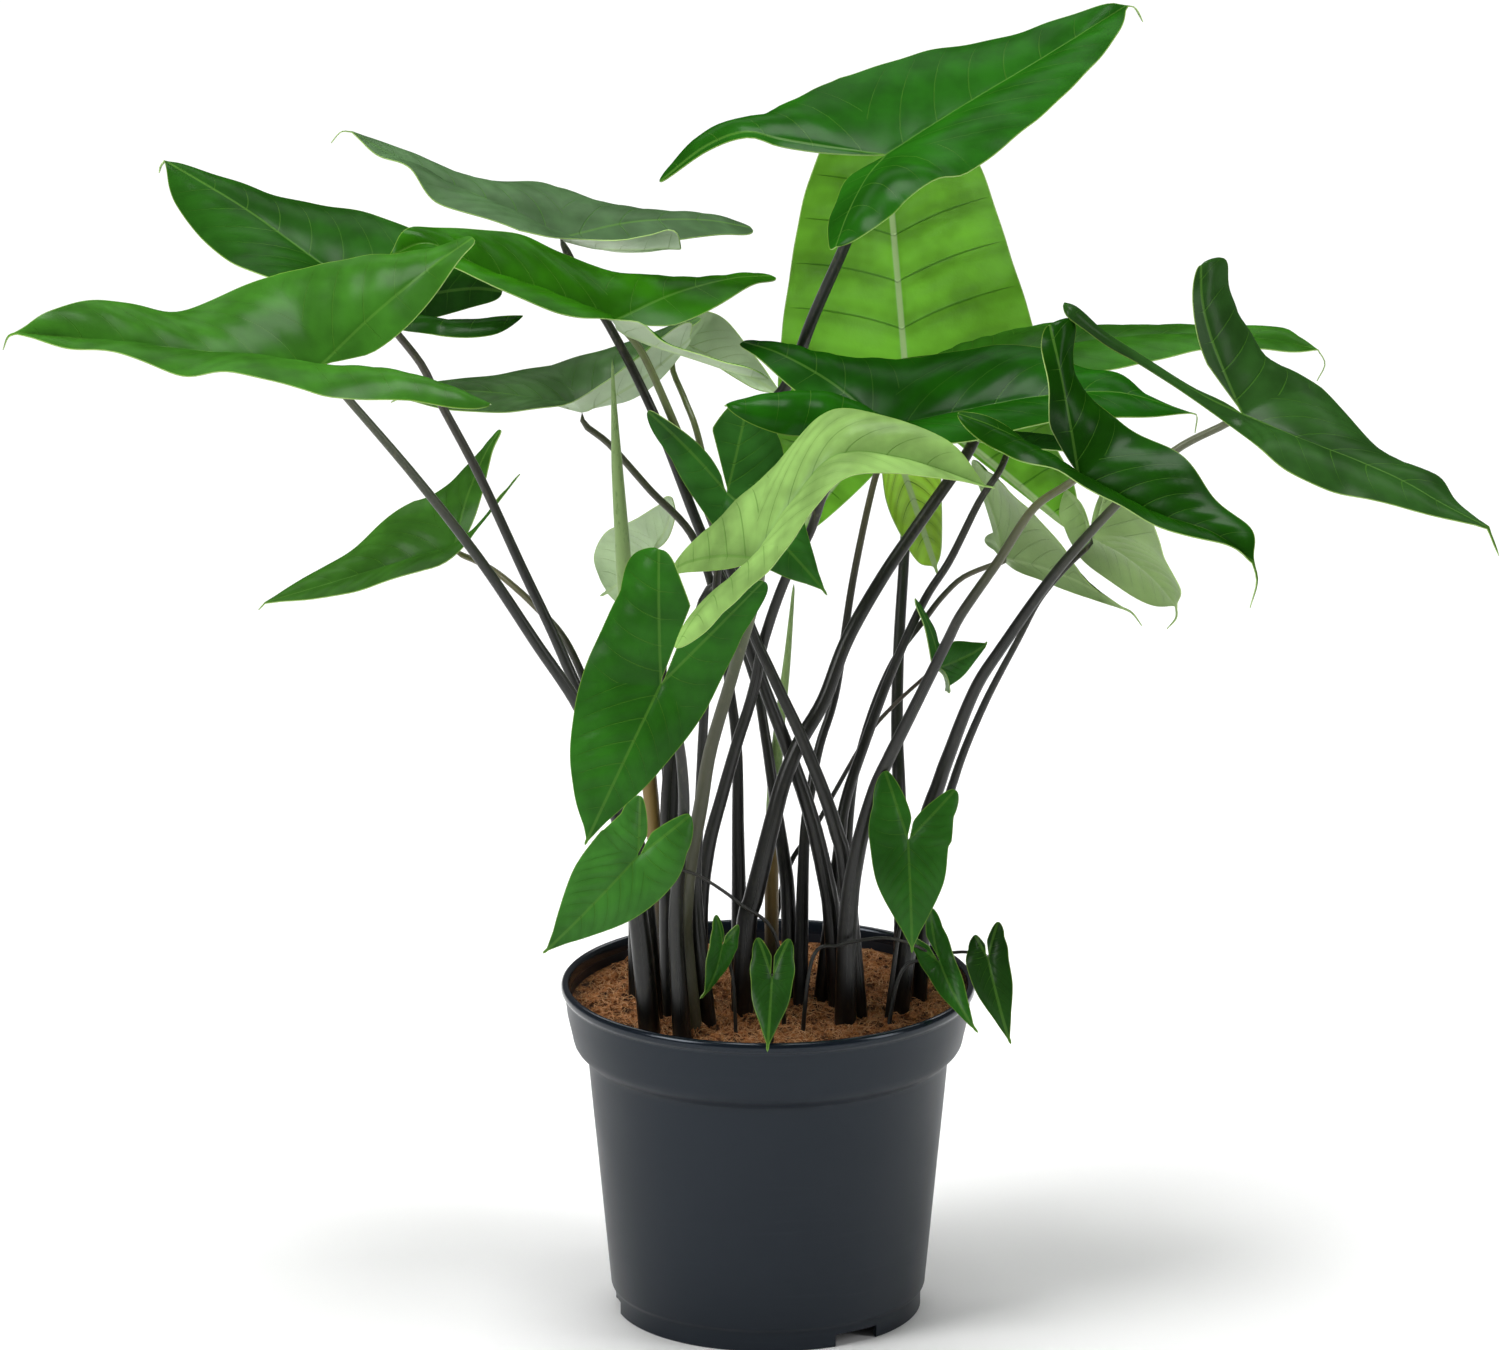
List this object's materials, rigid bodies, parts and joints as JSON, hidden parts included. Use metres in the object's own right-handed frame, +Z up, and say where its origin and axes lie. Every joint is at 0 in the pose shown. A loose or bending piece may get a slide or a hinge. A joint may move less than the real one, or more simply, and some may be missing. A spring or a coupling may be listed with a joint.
{
  "type": "potted alocasia plant",
  "caption": "Potted alocasia with large arrow-shaped leaves on long dark stalks, growing from compost in a round tapered nursery pot with a shoulder and a rolled rim.",
  "frame": {"origin": "centre of the pot's base pad, on the surface it stands on", "axes": "+Z up along the pot's axis, +Y towards the back, +X to the right as seen from the front"},
  "size_m": [0.8389, 0.3876, 0.7479],
  "materials": {
    "pot": "dark slate nursery plastic, satin, with a soft vertical sheen and fine level scuffs",
    "compost": "brown fibrous coir compost, loose and matte",
    "leaf_green": "glossy deep green above with raised veins and a thin pale margin, pale grey-green below",
    "leaf_young": "bright yellow-green new leaf, satin",
    "leaf_backlit": "yellow-green underside with a thick pale midrib",
    "stalk_dark": "near-black smooth stalk, soft sheen, olive towards the blade",
    "stalk_young": "grey-olive stalk, yellow-green at its top",
    "spear": "pale green rolled new leaf, satin"
  },
  "bodies": {
    "root": {"pot": "pot", "compost": "compost", "blade_top": "leaf_green", "stalk_top": "stalk_dark", "blade_upright": "leaf_backlit", "stalk_upright": "stalk_dark", "blade_wide": "leaf_green", "stalk_wide": "stalk_dark", "blade_long": "leaf_green", "stalk_long": "stalk_dark", "blade_young": "leaf_young", "stalk_young": "stalk_young", "blade_glossy": "leaf_green", "stalk_glossy": "stalk_dark", "blade_inner": "leaf_green", "stalk_inner": "stalk_dark", "blade_fore_right": "leaf_green", "stalk_fore_right": "stalk_dark", "blade_far_right": "leaf_green", "stalk_far_right": "stalk_dark", "blade_fore_left": "leaf_green", "stalk_fore_left": "stalk_dark", "blade_upper_left": "leaf_green", "stalk_upper_left": "stalk_dark", "blade_mid_left": "leaf_green", "stalk_mid_left": "stalk_dark", "blade_high_left": "leaf_green", "stalk_high_left": "stalk_dark", "blade_folded": "leaf_green", "stalk_folded": "stalk_dark", "blade_back_left": "leaf_green", "stalk_back_left": "stalk_dark", "blade_low_left": "leaf_green", "stalk_low_left": "stalk_dark", "blade_low_back": "leaf_green", "stalk_low_back": "stalk_dark", "blade_tiny": "leaf_green", "stalk_tiny": "stalk_dark", "blade_back_right": "leaf_green", "stalk_back_right": "stalk_dark", "blade_right_under": "leaf_green", "stalk_right_under": "stalk_dark", "blade_hanging": "leaf_backlit", "stalk_hanging": "stalk_dark", "blade_baby_left": "leaf_green", "stalk_baby_left": "stalk_dark", "blade_baby_right": "leaf_green", "stalk_baby_right": "stalk_dark", "blade_baby_front": "leaf_green", "stalk_baby_front": "stalk_dark", "blade_baby_inner": "leaf_green", "stalk_baby_inner": "stalk_dark", "blade_baby_outer": "leaf_green", "stalk_baby_outer": "stalk_dark", "blade_baby_rim": "leaf_green", "stalk_baby_rim": "stalk_dark", "blade_hidden": "leaf_green", "stalk_hidden": "stalk_dark", "spear_tall": "spear", "spear_short": "spear"}
  },
  "joints": []
}
